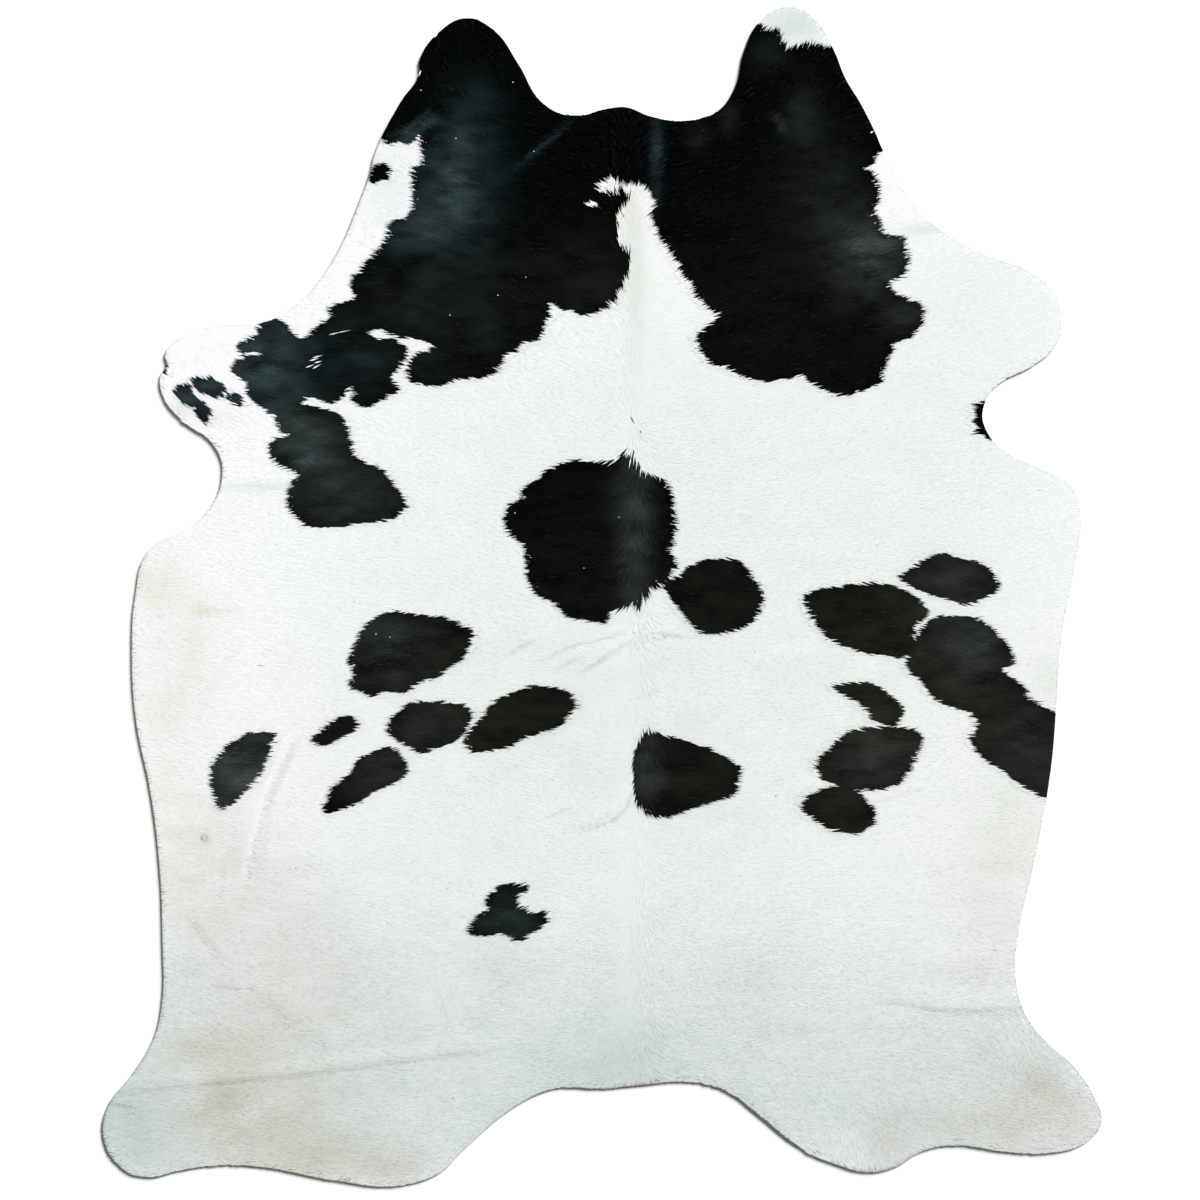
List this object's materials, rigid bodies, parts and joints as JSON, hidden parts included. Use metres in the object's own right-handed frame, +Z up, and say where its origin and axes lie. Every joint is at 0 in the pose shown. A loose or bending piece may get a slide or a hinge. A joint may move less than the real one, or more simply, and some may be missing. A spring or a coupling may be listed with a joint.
{
  "type": "cowhide rug",
  "caption": "Flat cowhide rug cut round the hide's natural outline, hair side up, black patches on white, with soft fold creases.",
  "frame": {"origin": "on the floor, in the middle of the rug's length and width", "axes": "+Y towards the neck, +X to the right seen from above with the neck away from the viewer, +Z up out of the hair side"},
  "size_m": [1.8056, 2.1298, 0.0073],
  "materials": {
    "white_hair": "satin",
    "black_hair": "satin"
  },
  "bodies": {
    "root": {"hide": "white_hair"}
  },
  "joints": []
}
